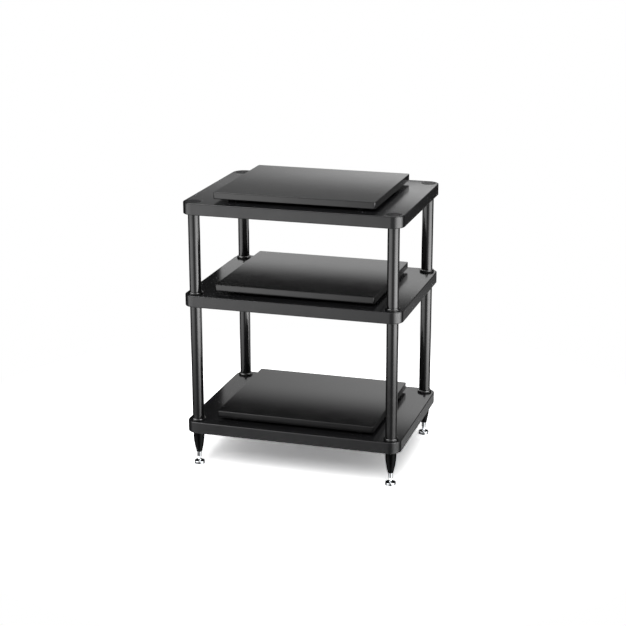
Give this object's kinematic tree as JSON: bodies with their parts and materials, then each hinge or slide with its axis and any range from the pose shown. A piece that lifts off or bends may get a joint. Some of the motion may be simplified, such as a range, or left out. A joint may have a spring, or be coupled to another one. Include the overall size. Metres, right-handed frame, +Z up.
{
  "type": "audio equipment rack",
  "caption": "Free-standing rack of lacquered shelves on steel tube columns, with floating boards, tapered legs, levelling spikes and floor discs.",
  "frame": {"origin": "on the floor, under the middle of the rack", "axes": "+Z up, front towards -Y, width along X"},
  "size_m": [0.65, 0.49, 0.829],
  "materials": {
    "shelf_lacquer": "satin black lacquer on board",
    "board_lacquer": "semi-gloss black lacquer on board",
    "decoupler_rubber": "matt black moulded rubber",
    "collar_metal": "gloss black turned metal",
    "tube_paint": "satin black powder coat",
    "stud_steel": "plain machined steel",
    "cap_finish": "satin black turned metal",
    "leg_paint": "semi-gloss black turned metal",
    "foot_chrome": "polished chrome plate"
  },
  "bodies": {
    "root": {"bottom_shelf": "shelf_lacquer", "middle_shelf": "shelf_lacquer", "top_shelf": "shelf_lacquer", "bottom_decoupler_front_left": "decoupler_rubber", "bottom_decoupler_front_right": "decoupler_rubber", "bottom_decoupler_rear_left": "decoupler_rubber", "bottom_decoupler_rear_right": "decoupler_rubber", "middle_decoupler_front_left": "decoupler_rubber", "middle_decoupler_front_right": "decoupler_rubber", "middle_decoupler_rear_left": "decoupler_rubber", "middle_decoupler_rear_right": "decoupler_rubber", "top_decoupler_front_left": "decoupler_rubber", "top_decoupler_front_right": "decoupler_rubber", "top_decoupler_rear_left": "decoupler_rubber", "top_decoupler_rear_right": "decoupler_rubber", "lower_collar_front_left": "collar_metal", "lower_collar_front_right": "collar_metal", "lower_collar_rear_left": "collar_metal", "lower_collar_rear_right": "collar_metal", "upper_collar_front_left": "collar_metal", "upper_collar_front_right": "collar_metal", "upper_collar_rear_left": "collar_metal", "upper_collar_rear_right": "collar_metal", "lower_tube_front_left": "tube_paint", "lower_tube_front_right": "tube_paint", "lower_tube_rear_left": "tube_paint", "lower_tube_rear_right": "tube_paint", "upper_tube_front_left": "tube_paint", "upper_tube_front_right": "tube_paint", "upper_tube_rear_left": "tube_paint", "upper_tube_rear_right": "tube_paint", "tie_stud_front_left": "stud_steel", "tie_stud_front_right": "stud_steel", "tie_stud_rear_left": "stud_steel", "tie_stud_rear_right": "stud_steel", "cap_front_left": "cap_finish", "cap_front_right": "cap_finish", "cap_rear_left": "cap_finish", "cap_rear_right": "cap_finish", "leg_front_left": "leg_paint", "leg_front_right": "leg_paint", "leg_rear_left": "leg_paint", "leg_rear_right": "leg_paint"},
    "foot_front_left": {"spike_front_left": "foot_chrome"},
    "foot_front_right": {"spike_front_right": "foot_chrome"},
    "foot_rear_left": {"spike_rear_left": "foot_chrome"},
    "foot_rear_right": {"spike_rear_right": "foot_chrome"},
    "disc_front_left": {"floor_disc_front_left": "foot_chrome"},
    "disc_front_right": {"floor_disc_front_right": "foot_chrome"},
    "disc_rear_left": {"floor_disc_rear_left": "foot_chrome"},
    "disc_rear_right": {"floor_disc_rear_right": "foot_chrome"},
    "board_bottom": {"bottom_board": "board_lacquer"},
    "board_middle": {"middle_board": "board_lacquer"},
    "board_top": {"top_board": "board_lacquer"}
  },
  "joints": [
    {"name": "foot_height_front_left", "type": "slide", "parent": "root", "child": "foot_front_left", "axis": [0, 0, -1], "range_m": [0, 0.01]},
    {"name": "foot_height_front_right", "type": "slide", "parent": "root", "child": "foot_front_right", "axis": [0, 0, -1], "range_m": [0, 0.01]},
    {"name": "foot_height_rear_left", "type": "slide", "parent": "root", "child": "foot_rear_left", "axis": [0, 0, -1], "range_m": [0, 0.01]},
    {"name": "foot_height_rear_right", "type": "slide", "parent": "root", "child": "foot_rear_right", "axis": [0, 0, -1], "range_m": [0, 0.01]},
    {"name": "disc_swivel_front_left", "type": "hinge", "parent": "foot_front_left", "child": "disc_front_left", "pos_m": [-0.294, -0.214, 0.006], "axis": [0, 0, 1], "continuous": true},
    {"name": "disc_swivel_front_right", "type": "hinge", "parent": "foot_front_right", "child": "disc_front_right", "pos_m": [0.294, -0.214, 0.006], "axis": [0, 0, 1], "continuous": true},
    {"name": "disc_swivel_rear_left", "type": "hinge", "parent": "foot_rear_left", "child": "disc_rear_left", "pos_m": [-0.294, 0.214, 0.006], "axis": [0, 0, 1], "continuous": true},
    {"name": "disc_swivel_rear_right", "type": "hinge", "parent": "foot_rear_right", "child": "disc_rear_right", "pos_m": [0.294, 0.214, 0.006], "axis": [0, 0, 1], "continuous": true},
    {"name": "board_lift_bottom", "type": "slide", "parent": "root", "child": "board_bottom", "axis": [0, 0, 1], "range_m": [0, 0.06]},
    {"name": "board_lift_middle", "type": "slide", "parent": "root", "child": "board_middle", "axis": [0, 0, 1], "range_m": [0, 0.06]},
    {"name": "board_lift_top", "type": "slide", "parent": "root", "child": "board_top", "axis": [0, 0, 1], "range_m": [0, 0.06]}
  ]
}
